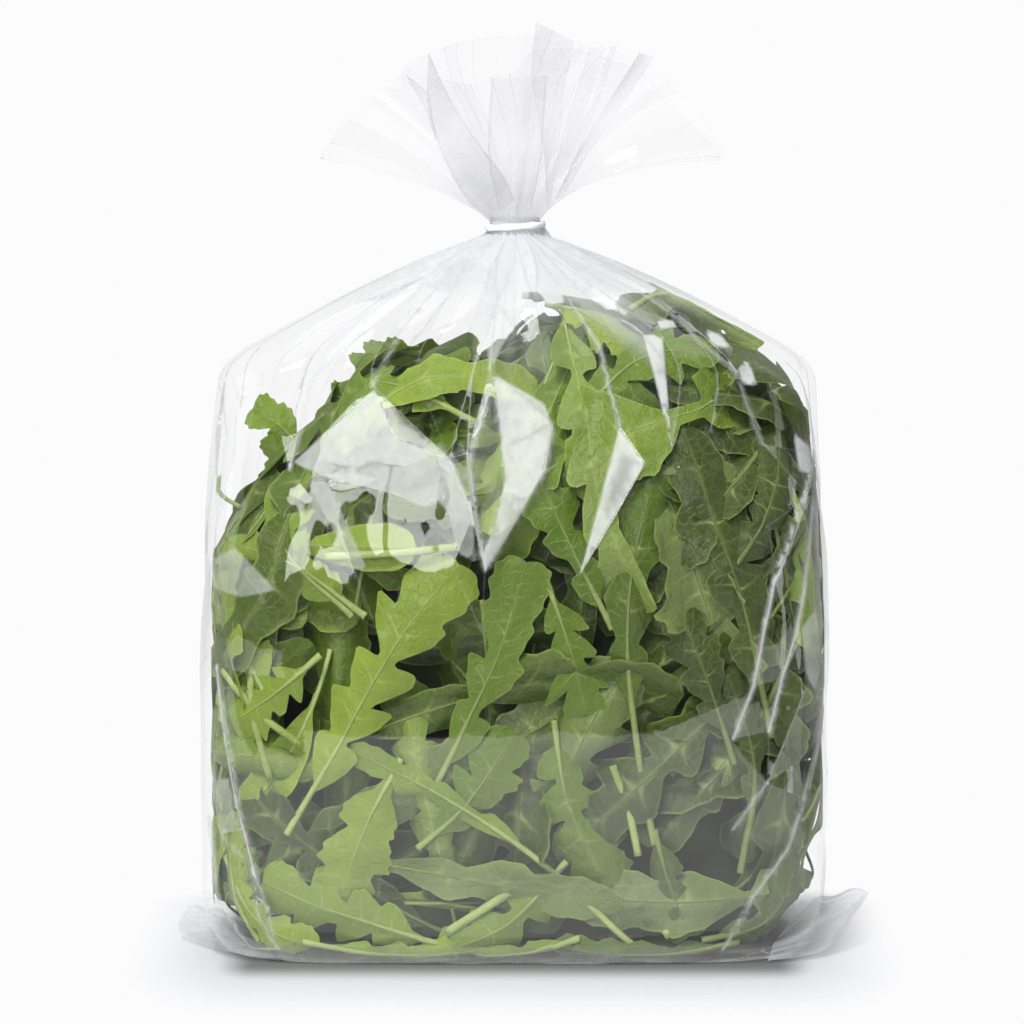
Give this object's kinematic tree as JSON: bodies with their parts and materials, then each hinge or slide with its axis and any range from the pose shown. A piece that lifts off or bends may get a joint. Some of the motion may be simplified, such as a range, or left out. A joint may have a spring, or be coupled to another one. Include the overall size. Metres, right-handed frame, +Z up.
{
  "type": "bag of salad leaves",
  "caption": "Clear film bag filled with green salad leaves, standing upright, gathered at the neck by a thin white band below a ruffled top.",
  "frame": {"origin": "middle of the base, on the surface that the bag stands on", "axes": "+Z up through the tied neck, +X to the right of the front, the front faces -Y"},
  "size_m": [0.2176, 0.1142, 0.2886],
  "materials": {
    "film": "clear glossy thin plastic film, creased, milky where layers gather",
    "leaves": "fresh green leaves, soft sheen, paler midribs and stems",
    "tie": "white band, satin"
  },
  "bodies": {
    "root": {"bag": "film", "tie": "tie"}
  },
  "joints": []
}
